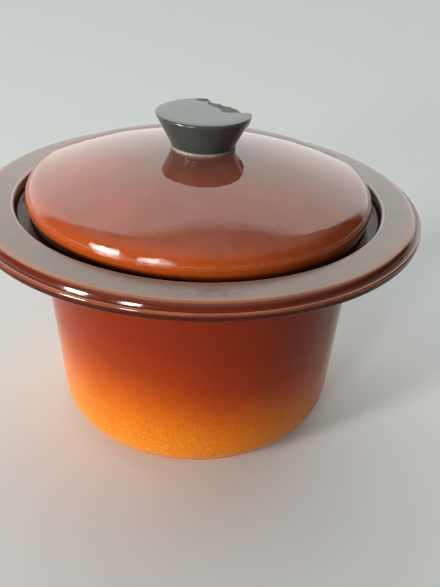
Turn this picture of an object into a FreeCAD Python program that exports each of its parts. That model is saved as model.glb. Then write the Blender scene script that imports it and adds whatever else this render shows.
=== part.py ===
import FreeCAD, Part
import math
import os
import Sketcher

# Round stoneware crock with a flanged rim, a domed lid sunk in a gallery, and a screwed-on knob.
# Frame: +Z up, origin at the centre of the foot ring, millimetres.

SIZES = [
    # pot
    ("flange_height", 155.0, "top of the flange above the table"),
    ("flange_width", 21.3, "top of the flange, gallery to its upper ridge, before rounding"),
    ("flange_thickness", 9.5, "flange top to its flat underside"),
    ("rim_bead_reach", 4.2, "corner of the outer bead beyond the upper ridge, before rounding"),
    ("rim_bead_drop", 3.4, "bead corner below the flange top"),
    ("rim_groove_reach", 1.3, "groove between the two ridges, beyond the upper ridge"),
    ("rim_groove_drop", 4.4, "groove below the flange top"),
    ("rim_edge_round", 5.0, "upper ridge"),
    ("rim_groove_round", 0.5, "groove"),
    ("rim_bead_round", 1.3, "top of the bead"),
    ("rim_under_round", 2.4, "underside of the bead"),
    ("ledge_width", 20.8, "ledge that the lid rests on, mouth to gallery side"),
    ("well_depth", 8.0, "flange top to the ledge that the lid rests on"),
    ("well_edge_round", 2.0, "rounded lip of the gallery"),
    ("well_corner_round", 3.0, "corner between the gallery side and the ledge"),
    ("mouth_edge_round", 2.5, "rounded inner edge of the ledge"),
    ("gallery_wall", 8.0, "thickness around the gallery"),
    ("gallery_floor", 13.5, "ledge down to where the underside meets the wall"),
    ("gallery_under_round", 6.0, "hollow corner under the flange"),
    ("wall_top_radius", 102.3, "outside of the wall, under the flange"),
    ("wall_draw", 8.7, "how far the wall draws in, run down to the table"),
    ("wall_thickness", 7.5, "side wall"),
    ("wall_neck_round", 8.0, "hollow corner where the wall meets the gallery"),
    ("base_round", 20.0, "lower corner of the wall"),
    ("floor_thickness", 9.0, "inside floor above the table"),
    ("floor_round", 16.0, "inside corner at the floor"),
    ("foot_width", 7.6, "flat of the foot ring"),
    ("foot_recess", 2.0, "hollow under the base"),
    ("foot_edge_round", 0.8, "inner edge of the foot ring"),
    # lid
    ("seat_gap", 0.3, "running gap between the lid's rim and the ledge"),
    ("lid_clearance", 6.5, "space around the lid in its gallery"),
    ("lid_shoulder_round", 12.5, "round shoulder"),
    ("lid_shoulder_height", 9.0, "shoulder centre above the lid's rim"),
    ("lid_dome_rise", 29.7, "top of the dome above the shoulder centre"),
    ("lid_thickness", 7.0, "shell thickness"),
    ("lid_rim_tuck", 2.2, "how far the rim draws in at the bottom"),
    ("lid_rim_round", 1.8, "rounded edges of the rim"),
    ("knob_seat_margin", 0.4, "flat on top of the dome, beyond the pale ring"),
    ("screw_seat_margin", 2.0, "inner boss beyond the soft washer"),
    ("screw_seat_drop", 2.0, "inner boss below the inside of the dome"),
    ("screw_clearance", 0.7, "hole through the lid, around the shank"),
    # knob and its fixing
    ("knob_flare", 10.35, "top edge of the knob beyond its foot, before rounding"),
    ("knob_height", 20.25, "foot to top"),
    ("knob_foot_radius", 19.6, "foot"),
    ("knob_top_round", 1.2, "top edge"),
    ("knob_crown_width", 4.5, "shallow slope around the flat of the top"),
    ("knob_crown_drop", 0.45, "shallow slope around the flat of the top"),
    ("knob_crown_round", 20.0, "where that slope meets the flat"),
    ("knob_foot_round", 0.5, "edges of the foot and of the hollow"),
    ("knob_core_wall", 4.5, "column around the insert"),
    ("knob_skin", 4.5, "wall around the hollow under the knob"),
    ("knob_core_depth", 7.0, "depth of the hollow under the knob"),
    ("ring_thickness", 1.7, "pale ring under the knob"),
    ("ring_lip", 0.5, "ring beyond the foot of the knob"),
    ("knob_roof", 6.35, "top of the knob down to the insert"),
    ("insert_wall", 2.0, "brass insert around the screw"),
    ("insert_waist", 0.7, "depth of the grip groove"),
    ("insert_waist_width", 3.0, "width of the grip groove"),
    ("screw_radius", 2.5, "M5 shank"),
    ("screw_end_gap", 1.0, "insert beyond the end of the screw"),
    ("screw_head_lip", 2.25, "pan head beyond the shank"),
    ("screw_head_height", 3.4, "pan head"),
    ("screw_head_round", 1.6, "pan head edge"),
    ("screw_end_bevel", 0.5, "point of the shank"),
    ("thread_depth", 0.4, "engagement of the screw in the insert"),
    ("drive_slot_width", 1.1, "cross recess"),
    ("drive_slot_margin", 0.55, "flat of the head beyond the cross recess"),
    ("drive_slot_depth", 1.8, "cross recess"),
    ("washer_clearance", 0.25, "washer holes around the shank"),
    ("gasket_radius", 10.0, "soft washer"),
    ("gasket_thickness", 1.5, "soft washer"),
    ("washer_inset", 1.0, "steel washer inside the edge of the soft one"),
    ("washer_thickness", 1.2, "steel washer"),
    ("washer_edge_round", 0.3, "steel washer"),
]

doc = FreeCAD.newDocument("crock")


def make_sheet():
    sheet = doc.addObject("Spreadsheet::Sheet", "sizes")
    for row, (alias, value, note) in enumerate(SIZES, start=1):
        sheet.set(f"A{row}", alias)
        sheet.set(f"B{row}", str(value))
        sheet.set(f"C{row}", note)
        sheet.setAlias(f"B{row}", alias)
    doc.recompute()
    return sheet


sheet = make_sheet()


def bound(text):
    """An expression with each size name pointed at the sheet."""
    for alias in sorted((entry[0] for entry in SIZES), key=len, reverse=True):
        text = text.replace(f"[{alias}]", f"sizes.{alias}")
    return text


def value_of(text):
    answer = sheet.evalExpression(bound(text))
    return float(getattr(answer, "Value", answer))


def new_body(name, height="0"):
    body = doc.addObject("PartDesign::Body", name)
    body.Label = name
    body.Placement = FreeCAD.Placement(FreeCAD.Vector(0, 0, value_of(height)), FreeCAD.Rotation())
    if height != "0":
        body.setExpression("Placement.Base.z", bound(height))
    return body


def new_sketch(body, name, role):
    plane = next(item for item in body.Origin.OriginFeatures if item.Role == role)
    sketch = body.newObject("Sketcher::SketchObject", name)
    sketch.AttachmentSupport = [(plane, "")]
    sketch.MapMode = "FlatFace"
    return sketch


def pin(sketch, geometry, end, axis, name, text):
    """Fix one coordinate of a sketch point to an expression."""
    kind, datum_axis = ("DistanceX", -2) if axis == "r" else ("DistanceY", -1)
    if text == "0":
        sketch.addConstraint(Sketcher.Constraint("PointOnObject", geometry, end, datum_axis))
        return
    index = sketch.addConstraint(Sketcher.Constraint(kind, -1, 1, geometry, end, value_of(text)))
    sketch.renameConstraint(index, name)
    sketch.setExpression(f"Constraints.{name}", bound(text))


def size_radius(sketch, geometry, name, text):
    index = sketch.addConstraint(Sketcher.Constraint("Radius", geometry, value_of(text)))
    sketch.renameConstraint(index, name)
    sketch.setExpression(f"Constraints.{name}", bound(text))


def arc_between(centre, radius, start, end):
    """Counter-clockwise arc through two points; also says which of its ends is the start."""
    first = math.atan2(start.y - centre.y, start.x - centre.x)
    last = math.atan2(end.y - centre.y, end.x - centre.x)
    turn = (start - centre).cross(end - centre).z
    circle = Part.Circle(centre, FreeCAD.Vector(0, 0, 1), radius)
    if turn > 0:
        return Part.ArcOfCircle(circle, first, last), 1, 2
    return Part.ArcOfCircle(circle, last, first), 2, 1


def draw_section(body, name, corners):
    """Closed outline in the RZ plane. A corner is (name, radius, height, rounding or None)."""
    sketch = new_sketch(body, name, "XZ_Plane")
    points = [FreeCAD.Vector(value_of(r), value_of(z), 0) for _, r, z, _ in corners]
    rounds = [value_of(rounding) if rounding else 0.0 for *_, rounding in corners]
    count = len(corners)
    entries, exits, centres = [], [], []
    for i in range(count):
        back = (points[i - 1] - points[i]).normalize()
        ahead = (points[(i + 1) % count] - points[i]).normalize()
        half = back.getAngle(ahead) / 2
        reach = rounds[i] / math.tan(half)
        entries.append(points[i] + back * reach)
        exits.append(points[i] + ahead * reach)
        centres.append(points[i] + (back + ahead).normalize() * (rounds[i] / math.sin(half)))
    for i in range(count):
        sketch.addGeometry(Part.LineSegment(exits[i], entries[(i + 1) % count]), False)
    for i, (label, r, z, rounding) in enumerate(corners):
        before = (i - 1) % count
        if rounding is None:
            sketch.addConstraint(Sketcher.Constraint("Coincident", before, 2, i, 1))
            pin(sketch, i, 1, "r", f"{label}_r", r)
            pin(sketch, i, 1, "z", f"{label}_z", z)
            continue
        shape, entry_end, exit_end = arc_between(centres[i], rounds[i], entries[i], exits[i])
        arc = sketch.addGeometry(shape, False)
        corner = sketch.addGeometry(Part.Point(points[i]), True)
        sketch.addConstraint(Sketcher.Constraint("Tangent", before, 2, arc, entry_end))
        sketch.addConstraint(Sketcher.Constraint("Tangent", arc, exit_end, i, 1))
        sketch.addConstraint(Sketcher.Constraint("PointOnObject", corner, 1, before))
        sketch.addConstraint(Sketcher.Constraint("PointOnObject", corner, 1, i))
        pin(sketch, corner, 1, "r", f"{label}_r", r)
        pin(sketch, corner, 1, "z", f"{label}_z", z)
        size_radius(sketch, arc, f"{label}_round", rounding)
    return sketch


def turn(body, sketch, name, kind="PartDesign::Revolution"):
    feature = body.newObject(kind, name)
    feature.Profile = sketch
    feature.ReferenceAxis = (sketch, ["V_Axis"])
    feature.Angle = 360
    return feature


def draw_circle(body, name, radius, height):
    """Circle about the body's axis at a height above its origin."""
    sketch = new_sketch(body, name, "XY_Plane")
    sketch.AttachmentOffset = FreeCAD.Placement(FreeCAD.Vector(0, 0, value_of(height)), FreeCAD.Rotation())
    if height != "0":
        sketch.setExpression("AttachmentOffset.Base.z", bound(height))
    circle = Part.Circle(FreeCAD.Vector(0, 0, 0), FreeCAD.Vector(0, 0, 1), value_of(radius))
    sketch.addGeometry(circle, False)
    sketch.addConstraint(Sketcher.Constraint("Coincident", 0, 3, -1, 1))
    size_radius(sketch, 0, "disc_round", radius)
    return sketch


def extrude(body, sketch, name, length, kind="PartDesign::Pad", upward=True):
    """Pad or pocket of a stated length; a pad goes up and a pocket goes down unless turned round."""
    feature = body.newObject(kind, name)
    feature.Profile = sketch
    feature.Length = value_of(length)
    feature.setExpression("Length", bound(length))
    feature.Reversed = (not upward) if kind == "PartDesign::Pad" else upward
    return feature


def round_edges(body, base, name, radius, wanted):
    """Fillet the edges of a feature that a test picks out."""
    doc.recompute()
    names = [f"Edge{i}" for i, edge in enumerate(base.Shape.Edges, start=1) if wanted(edge)]
    feature = body.newObject("PartDesign::Fillet", name)
    feature.Base = (base, names)
    feature.Radius = value_of(radius)
    feature.setExpression("Radius", bound(radius))
    return feature


def circle_at(radius, height, slack=0.05):
    """Test for a circular edge about the axis, by its radius and its height in the body."""
    def wanted(edge):
        curve = edge.Curve
        if not isinstance(curve, Part.Circle):
            return False
        return abs(curve.Radius - radius) < slack and abs(curve.Center.z - height) < slack
    return wanted


# pot
LEDGE = "([flange_height] - [well_depth])"
UNDERSIDE = "([flange_height] - [flange_thickness])"
INSIDE_TOP = "([wall_top_radius] - [wall_thickness])"
WALL_FOOT = "([wall_top_radius] - [wall_draw])"
INSIDE_FOOT = f"({WALL_FOOT} - [wall_thickness])"
WELL_SIDE = f"({INSIDE_TOP} + [ledge_width])"
FLANGE_EDGE = f"({WELL_SIDE} + [flange_width])"
GROOVE_SIDE = f"({FLANGE_EDGE} + [rim_groove_reach])"
BEAD_SIDE = f"({FLANGE_EDGE} + [rim_bead_reach])"
FOOT_INNER = f"({WALL_FOOT} - [base_round] - [foot_width])"
# lid
LID_RIM = f"({LEDGE} + [seat_gap])"
LID_EDGE = f"({WELL_SIDE} - [lid_clearance])"
SHOULDER = f"({LID_EDGE} - [lid_shoulder_round])"
INNER_SHOULDER = "([lid_shoulder_round] - [lid_thickness])"
DOME_TOP = "([lid_shoulder_height] + [lid_dome_rise])"
# the dome's arc touches the shoulder's arc from outside and is level on the axis
DOME_RADIUS = (f"(({SHOULDER} ^ 2 + [lid_dome_rise] ^ 2 - [lid_shoulder_round] ^ 2)"
               " / (2 * ([lid_dome_rise] - [lid_shoulder_round])))")
KNOB_SEAT_EDGE = "([knob_foot_radius] + [ring_lip] + [knob_seat_margin])"
KNOB_SEAT = f"({DOME_TOP} - {DOME_RADIUS} + sqrt({DOME_RADIUS} ^ 2 - {KNOB_SEAT_EDGE} ^ 2))"
SCREW_SEAT = f"({DOME_TOP} - [lid_thickness] - [screw_seat_drop])"
SCREW_SEAT_EDGE = "([gasket_radius] + [screw_seat_margin])"
SCREW_HOLE = "([screw_radius] + [screw_clearance])"
# knob and its fixing
KNOB_FOOT = f"({LID_RIM} + {KNOB_SEAT} + [ring_thickness])"
KNOB_EDGE = "([knob_foot_radius] + [knob_flare])"
INSERT_RADIUS = "([screw_radius] + [insert_wall])"
INSERT_LENGTH = "([knob_height] - [knob_roof])"
CORE_RADIUS = f"({INSERT_RADIUS} + [knob_core_wall])"
WAIST_RADIUS = f"({INSERT_RADIUS} - [insert_waist])"
WAIST_LOW = f"(({INSERT_LENGTH} - [insert_waist_width]) / 2)"
WAIST_HIGH = f"(({INSERT_LENGTH} + [insert_waist_width]) / 2)"
WASHER_HOLE = "([screw_radius] + [washer_clearance])"
GASKET_LOW = f"({LID_RIM} + {SCREW_SEAT} - [gasket_thickness])"
WASHER_LOW = f"({GASKET_LOW} - [washer_thickness])"
WASHER_EDGE = "([gasket_radius] - [washer_inset])"
HEAD_RADIUS = "([screw_radius] + [screw_head_lip])"
SCREW_LENGTH = f"({KNOB_FOOT} + {INSERT_LENGTH} - [screw_end_gap] - {WASHER_LOW})"


def make_pot():
    body = new_body("pot")
    corners = [
        ("base_centre", "0", "[foot_recess]", None),
        ("recess_edge", f"{FOOT_INNER} - [foot_recess]", "[foot_recess]", "[foot_edge_round]"),
        ("foot_inner", FOOT_INNER, "0", "[foot_edge_round]"),
        ("base_corner", WALL_FOOT, "0", "[base_round]"),
        ("wall_top", "[wall_top_radius]", f"{LEDGE} - [gallery_floor]", "[wall_neck_round]"),
        ("gallery_under", f"{WELL_SIDE} + [gallery_wall]", UNDERSIDE, "[gallery_under_round]"),
        ("bead_under", BEAD_SIDE, UNDERSIDE, "[rim_under_round]"),
        ("bead_top", BEAD_SIDE, "[flange_height] - [rim_bead_drop]", "[rim_bead_round]"),
        ("groove", GROOVE_SIDE, "[flange_height] - [rim_groove_drop]", "[rim_groove_round]"),
        ("rim_edge", FLANGE_EDGE, "[flange_height]", "[rim_edge_round]"),
        ("well_lip", WELL_SIDE, "[flange_height]", "[well_edge_round]"),
        ("well_corner", WELL_SIDE, LEDGE, "[well_corner_round]"),
        ("mouth", INSIDE_TOP, LEDGE, "[mouth_edge_round]"),
        ("floor_corner", INSIDE_FOOT, "[floor_thickness]", "[floor_round]"),
        ("floor_centre", "0", "[floor_thickness]", None),
    ]
    turn(body, draw_section(body, "pot_section", corners), "pot_turned")
    return body


def draw_lid_section(body):
    """Half section of the lid: concentric dome arcs, concentric shoulder arcs, a tucked-in rim, a flat
    on top of the dome for the knob and a flat boss inside it for the screw."""
    sketch = new_sketch(body, "lid_section", "XZ_Plane")
    shoulder = FreeCAD.Vector(value_of(SHOULDER), value_of("[lid_shoulder_height]"), 0)
    outer_round = value_of("[lid_shoulder_round]")
    inner_round = value_of(INNER_SHOULDER)
    outer_radius = value_of(DOME_RADIUS)
    inner_radius = outer_radius - value_of("[lid_thickness]")
    dome = FreeCAD.Vector(0, value_of(DOME_TOP) - outer_radius, 0)
    outward = (shoulder - dome).normalize()
    side = FreeCAD.Vector(1, 0, 0)

    seat_r, seat_z = value_of(KNOB_SEAT_EDGE), value_of(KNOB_SEAT)
    boss_r, boss_z = value_of(SCREW_SEAT_EDGE), value_of(SCREW_SEAT)
    boss_join = FreeCAD.Vector(boss_r, dome.y + math.sqrt(inner_radius ** 2 - boss_r ** 2), 0)

    def arc(centre, radius, first, last):
        return sketch.addGeometry(arc_between(centre, radius, first, last)[0], False)

    def line(first, last):
        return sketch.addGeometry(Part.LineSegment(first, last), False)

    outer_equator = shoulder + side * outer_round
    inner_equator = shoulder + side * inner_round
    rim_outer = FreeCAD.Vector(value_of(f"{LID_EDGE} - [lid_rim_tuck]"), 0, 0)
    rim_inner = FreeCAD.Vector(inner_equator.x, 0, 0)
    outer_join = shoulder + outward * outer_round
    inner_join = shoulder + outward * inner_round
    seat_edge = FreeCAD.Vector(seat_r, seat_z, 0)
    seat_centre = FreeCAD.Vector(0, seat_z, 0)
    boss_centre = FreeCAD.Vector(0, boss_z, 0)
    boss_edge = FreeCAD.Vector(boss_r, boss_z, 0)

    outer_dome = arc(dome, outer_radius, outer_join, seat_edge)
    seat_flat = line(seat_edge, seat_centre)
    axis = line(seat_centre, boss_centre)
    boss_flat = line(boss_centre, boss_edge)
    boss_side = line(boss_edge, boss_join)
    inner_dome = arc(dome, inner_radius, inner_join, boss_join)
    inner_shoulder = arc(shoulder, inner_round, inner_equator, inner_join)
    inner_side = line(inner_equator, rim_inner)
    rim = line(rim_inner, rim_outer)
    outer_side = line(rim_outer, outer_equator)
    outer_shoulder = arc(shoulder, outer_round, outer_equator, outer_join)

    def hold(kind, *ends):
        sketch.addConstraint(Sketcher.Constraint(kind, *ends))

    hold("Tangent", outer_dome, 1, outer_shoulder, 2)
    hold("Tangent", inner_side, 1, inner_shoulder, 1)
    hold("Tangent", inner_shoulder, 2, inner_dome, 1)
    for first, second in ((outer_dome, seat_flat), (seat_flat, axis), (axis, boss_flat),
                          (boss_flat, boss_side), (inner_side, rim), (rim, outer_side)):
        hold("Coincident", first, 2, second, 1)
    hold("Coincident", boss_side, 2, inner_dome, 2)
    hold("Coincident", outer_side, 2, outer_shoulder, 1)
    hold("Coincident", outer_shoulder, 3, inner_shoulder, 3)
    hold("Coincident", outer_dome, 3, inner_dome, 3)
    hold("PointOnObject", outer_dome, 3, -2)
    hold("PointOnObject", axis, 1, -2)
    hold("PointOnObject", axis, 2, -2)
    for flat in (seat_flat, boss_flat, rim):
        hold("Horizontal", flat)
    for upright in (boss_side, inner_side):
        hold("Vertical", upright)
    pin(sketch, rim, 1, "z", "rim_z", "0")
    pin(sketch, rim, 2, "r", "rim_outer_r", f"{LID_EDGE} - [lid_rim_tuck]")
    pin(sketch, outer_shoulder, 3, "r", "shoulder_r", SHOULDER)
    pin(sketch, outer_shoulder, 3, "z", "shoulder_z", "[lid_shoulder_height]")
    pin(sketch, outer_shoulder, 1, "z", "equator_z", "[lid_shoulder_height]")
    pin(sketch, seat_flat, 1, "r", "seat_r", KNOB_SEAT_EDGE)
    pin(sketch, boss_flat, 2, "r", "boss_r", SCREW_SEAT_EDGE)
    pin(sketch, boss_flat, 2, "z", "boss_z", SCREW_SEAT)
    size_radius(sketch, outer_shoulder, "shoulder_round", "[lid_shoulder_round]")
    size_radius(sketch, inner_shoulder, "inner_shoulder_round", INNER_SHOULDER)
    size_radius(sketch, outer_dome, "dome_round", DOME_RADIUS)
    return sketch


def make_lid():
    body = new_body("lid", LID_RIM)
    shell = turn(body, draw_lid_section(body), "lid_turned")
    low_outer = circle_at(value_of(f"{LID_EDGE} - [lid_rim_tuck]"), 0)
    low_inner = circle_at(value_of(f"{LID_EDGE} - [lid_thickness]"), 0)
    round_edges(body, shell, "rim_rounds", "[lid_rim_round]",
                lambda edge: low_outer(edge) or low_inner(edge))
    doc.recompute()
    hole = draw_circle(body, "screw_hole_disc", SCREW_HOLE, KNOB_SEAT)
    extrude(body, hole, "screw_hole", f"{KNOB_SEAT} - {SCREW_SEAT} + [screw_clearance]",
            "PartDesign::Pocket", upward=False)
    return body


def make_knob():
    body = new_body("knob", KNOB_FOOT)
    hollow = "[knob_foot_radius] - [knob_skin]"
    corners = [
        ("top_centre", "0", "[knob_height]", None),
        ("crown", f"{KNOB_EDGE} - [knob_crown_width]", "[knob_height]", "[knob_crown_round]"),
        ("top_edge", KNOB_EDGE, "[knob_height] - [knob_crown_drop]", "[knob_top_round]"),
        ("foot_outer", "[knob_foot_radius]", "0", "[knob_foot_round]"),
        ("foot_inner", hollow, "0", "[knob_foot_round]"),
        ("hollow_outer", hollow, "[knob_core_depth]", "[knob_foot_round]"),
        ("hollow_inner", CORE_RADIUS, "[knob_core_depth]", "[knob_foot_round]"),
        ("core_foot", CORE_RADIUS, "0", "[knob_foot_round]"),
        ("insert_mouth", INSERT_RADIUS, "0", None),
        ("waist_start", INSERT_RADIUS, WAIST_LOW, None),
        ("waist_low", WAIST_RADIUS, WAIST_LOW, None),
        ("waist_high", WAIST_RADIUS, WAIST_HIGH, None),
        ("waist_end", INSERT_RADIUS, WAIST_HIGH, None),
        ("insert_end", INSERT_RADIUS, INSERT_LENGTH, None),
        ("insert_top", "0", INSERT_LENGTH, None),
    ]
    turn(body, draw_section(body, "knob_section", corners), "knob_moulded")
    return body


def make_insert():
    body = new_body("knob_insert", KNOB_FOOT)
    bore = "[screw_radius] - [thread_depth]"
    corners = [
        ("bore_low", bore, "0", None),
        ("outer_low", INSERT_RADIUS, "0", None),
        ("waist_start", INSERT_RADIUS, WAIST_LOW, None),
        ("waist_low", WAIST_RADIUS, WAIST_LOW, None),
        ("waist_high", WAIST_RADIUS, WAIST_HIGH, None),
        ("waist_end", INSERT_RADIUS, WAIST_HIGH, None),
        ("outer_high", INSERT_RADIUS, INSERT_LENGTH, None),
        ("bore_high", bore, INSERT_LENGTH, None),
    ]
    turn(body, draw_section(body, "insert_section", corners), "insert_turned")
    return body


def make_flat_ring(name, height, outer, inner, thickness, rounding=None):
    """Flat washer standing on a height."""
    body = new_body(name, height)
    corners = [
        ("inner_low", inner, "0", None),
        ("outer_low", outer, "0", rounding),
        ("outer_high", outer, thickness, rounding),
        ("inner_high", inner, thickness, None),
    ]
    turn(body, draw_section(body, f"{name}_section", corners), f"{name}_turned")
    return body


def make_screw():
    body = new_body("knob_screw", WASHER_LOW)
    head_low = "0 - [screw_head_height]"
    corners = [
        ("head_centre", "0", head_low, None),
        ("head_low", HEAD_RADIUS, head_low, "[screw_head_round]"),
        ("head_high", HEAD_RADIUS, "0", None),
        ("shank_low", "[screw_radius]", "0", None),
        ("shank_bevel", "[screw_radius]", f"{SCREW_LENGTH} - [screw_end_bevel]", None),
        ("shank_high", "[screw_radius] - [screw_end_bevel]", SCREW_LENGTH, None),
        ("shank_centre", "0", SCREW_LENGTH, None),
    ]
    turn(body, draw_section(body, "screw_section", corners), "screw_turned")
    slot = new_sketch(body, "drive_slot", "XY_Plane")
    slot.AttachmentOffset = FreeCAD.Placement(FreeCAD.Vector(0, 0, value_of(head_low)), FreeCAD.Rotation())
    slot.setExpression("AttachmentOffset.Base.z", bound(head_low))
    half_slot = f"{HEAD_RADIUS} - [screw_head_round] - [drive_slot_margin]"
    half_length = value_of(half_slot)
    half_width = value_of("[drive_slot_width]") / 2
    signs = [(-1, -1), (1, -1), (1, 1), (-1, 1)]
    ends = [FreeCAD.Vector(x * half_length, y * half_width, 0) for x, y in signs]
    for i in range(4):
        slot.addGeometry(Part.LineSegment(ends[i], ends[(i + 1) % 4]), False)
    for i in range(4):
        slot.addConstraint(Sketcher.Constraint("Coincident", i, 2, (i + 1) % 4, 1))
    for i, kind in enumerate(("Horizontal", "Vertical", "Horizontal", "Vertical")):
        slot.addConstraint(Sketcher.Constraint(kind, i))
    pin(slot, 1, 2, "r", "half_length", half_slot)
    pin(slot, 1, 2, "z", "half_width", "[drive_slot_width] / 2")
    slot.addConstraint(Sketcher.Constraint("Symmetric", 0, 1, 1, 2, -1, 1))
    cut = extrude(body, slot, "drive_cut", "[drive_slot_depth]", "PartDesign::Pocket", upward=True)
    doc.recompute()
    pattern = body.newObject("PartDesign::PolarPattern", "drive_cross")
    pattern.Originals = [cut]
    pattern.Axis = (slot, ["N_Axis"])
    pattern.Angle = 90
    pattern.Occurrences = 2
    body.Tip = pattern
    return body


def make_all():
    ring_low = f"({LID_RIM} + {KNOB_SEAT})"
    return [
        make_pot(),
        make_lid(),
        make_knob(),
        make_insert(),
        make_flat_ring("knob_washer", ring_low, "[knob_foot_radius] + [ring_lip]", WASHER_HOLE,
                       "[ring_thickness]"),
        make_flat_ring("lid_gasket", GASKET_LOW, "[gasket_radius]", WASHER_HOLE, "[gasket_thickness]"),
        make_flat_ring("lid_washer", WASHER_LOW, WASHER_EDGE, WASHER_HOLE, "[washer_thickness]",
                       "[washer_edge_round]"),
        make_screw(),
    ]


def check_document(bodies):
    for item in doc.Objects:
        if "Invalid" in item.State or "Error" in item.State:
            raise RuntimeError(f"{item.Name} is {item.State}")
    for body in bodies:
        if body.Shape.isNull() or not body.Shape.isValid():
            raise RuntimeError(f"{body.Label} has no valid shape")
        if len(body.Shape.Solids) != 1:
            raise RuntimeError(f"{body.Label} has {len(body.Shape.Solids)} solids")


bodies = make_all()
doc.recompute()
check_document(bodies)
os.makedirs("parts", exist_ok=True)
for body in bodies:
    body.Shape.exportStep(f"parts/{body.Label}.step")
    box = body.Shape.BoundBox
    print(f"{body.Label}: {body.Shape.Volume / 1000:.2f} cm3, "
          f"radius {box.XMax:.2f}, height {box.ZMin:.2f} to {box.ZMax:.2f}")
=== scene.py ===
import math

import bpy
import numpy as np
from mathutils import Matrix, Vector


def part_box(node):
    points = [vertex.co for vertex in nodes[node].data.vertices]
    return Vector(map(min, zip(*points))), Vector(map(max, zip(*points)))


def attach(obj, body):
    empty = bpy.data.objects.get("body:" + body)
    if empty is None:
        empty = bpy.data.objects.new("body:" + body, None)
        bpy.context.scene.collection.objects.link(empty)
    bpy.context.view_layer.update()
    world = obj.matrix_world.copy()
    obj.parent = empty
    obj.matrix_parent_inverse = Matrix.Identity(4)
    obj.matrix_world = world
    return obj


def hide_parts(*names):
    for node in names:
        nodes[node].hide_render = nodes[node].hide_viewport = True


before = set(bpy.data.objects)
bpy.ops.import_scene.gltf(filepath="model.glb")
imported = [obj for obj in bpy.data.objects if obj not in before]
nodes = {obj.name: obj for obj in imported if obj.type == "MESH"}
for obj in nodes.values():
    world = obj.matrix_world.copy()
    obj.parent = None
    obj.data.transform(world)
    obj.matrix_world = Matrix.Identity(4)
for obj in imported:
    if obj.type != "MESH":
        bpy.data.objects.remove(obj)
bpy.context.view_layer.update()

mm = 0.001
print("frame loaded:", sorted(nodes))


def roundedOutline(corners, runStep, arcStep):
    # Profile points (radius, height) in metres through corners (radius, height, rounding) in mm.
    # A rounded corner is the circle that touches both of its runs: its ends lie rounding / tan(half the
    # corner's angle) from the corner, and its middle rounding / sin(half) along the corner's bisector.
    points = np.array([c[:2] for c in corners], float)
    rounds = [c[2] for c in corners]
    pieces = [points[:1]]
    last = len(points) - 1
    for i in range(1, last):
        back = points[i - 1] - points[i]
        ahead = points[i + 1] - points[i]
        back, ahead = back / np.linalg.norm(back), ahead / np.linalg.norm(ahead)
        half = math.acos(np.clip(back @ ahead, -1, 1)) / 2
        entry = points[i] + back * rounds[i] / math.tan(half)
        leave = points[i] + ahead * rounds[i] / math.tan(half)
        bisector = (back + ahead) / np.linalg.norm(back + ahead)
        middle = points[i] + bisector * rounds[i] / math.sin(half)
        first = math.atan2(*(entry - middle)[::-1])
        turn = math.atan2(*(leave - middle)[::-1]) - first
        turn = (turn + math.pi) % (2 * math.pi) - math.pi
        count = max(4, int(abs(turn) / math.radians(arcStep)))
        angles = first + turn * np.linspace(0, 1, count)
        arc = middle + rounds[i] * np.stack([np.cos(angles), np.sin(angles)], 1)
        pieces += [run(pieces[-1][-1], entry, runStep), arc]
    pieces += [run(pieces[-1][-1], points[-1], runStep), points[-1:]]
    return np.concatenate(pieces) * mm


def run(start, end, step):
    # Points between start and end, without either, about one step apart.
    count = max(1, int(np.linalg.norm(end - start) / step))
    return start + (end - start) * (np.arange(1, count) / count)[:, None]


def turnedPiece(name, outline, segments, shift=None):
    # Surface of revolution on a grid of angle a and profile point k: (r(k) cos a, r(k) sin a, z(k)).
    # shift gives a distance along the profile's normal for every (radius, height, angle).
    angle = np.arange(segments) * 2 * math.pi / segments
    radius, height = outline[:, 0], outline[:, 1]
    onAxis = radius < 1e-6
    slope = np.gradient(outline, axis=0)
    normal = np.stack([slope[:, 1], -slope[:, 0]], 1)
    normal /= np.linalg.norm(normal, axis=1)[:, None]
    ring = ~onAxis
    r, z = radius[ring, None], height[ring, None]
    move = shift(r, z, angle[None, :]) if shift else 0.0
    rr = r + normal[ring, 0:1] * move
    zz = z + normal[ring, 1:2] * move + 0 * angle
    grid = np.stack([rr * np.cos(angle), rr * np.sin(angle), zz], -1).reshape(-1, 3)
    rows = int(ring.sum())
    index = np.arange(rows * segments).reshape(rows, segments)
    closed = not onAxis.any()
    low = index if closed else index[:-1]
    high = np.roll(index, -1, 0) if closed else index[1:]
    quads = np.stack([low, np.roll(low, -1, 1), np.roll(high, -1, 1), high], -1).reshape(-1, 4)
    faces = quads.tolist()
    points = [grid]
    if onAxis[0]:
        points.append(np.array([[0, 0, height[0]]]))
        pole = np.full(segments, len(grid))
        faces += np.stack([pole, np.roll(index[0], -1), index[0]], 1).tolist()
    if onAxis[-1]:
        points.append(np.array([[0, 0, height[-1]]]))
        pole = np.full(segments, sum(len(p) for p in points) - 1)
        faces += np.stack([index[-1], np.roll(index[-1], -1), pole], 1).tolist()
    return meshPiece(name, np.concatenate(points), faces)


def meshPiece(name, points, faces):
    mesh = bpy.data.meshes.new(name)
    mesh.from_pydata(points.tolist(), [], faces)
    mesh.polygons.foreach_set("use_smooth", np.ones(len(mesh.polygons), bool))
    mesh.update()
    piece = bpy.data.objects.new(name, mesh)
    bpy.context.scene.collection.objects.link(piece)
    return piece


def smooth(value, low, high):
    # 0 below low, 1 above high, and 3t^2 - 2t^3 between.
    t = np.clip((value - low) / (high - low), 0, 1)
    return t * t * (3 - 2 * t)


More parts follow.
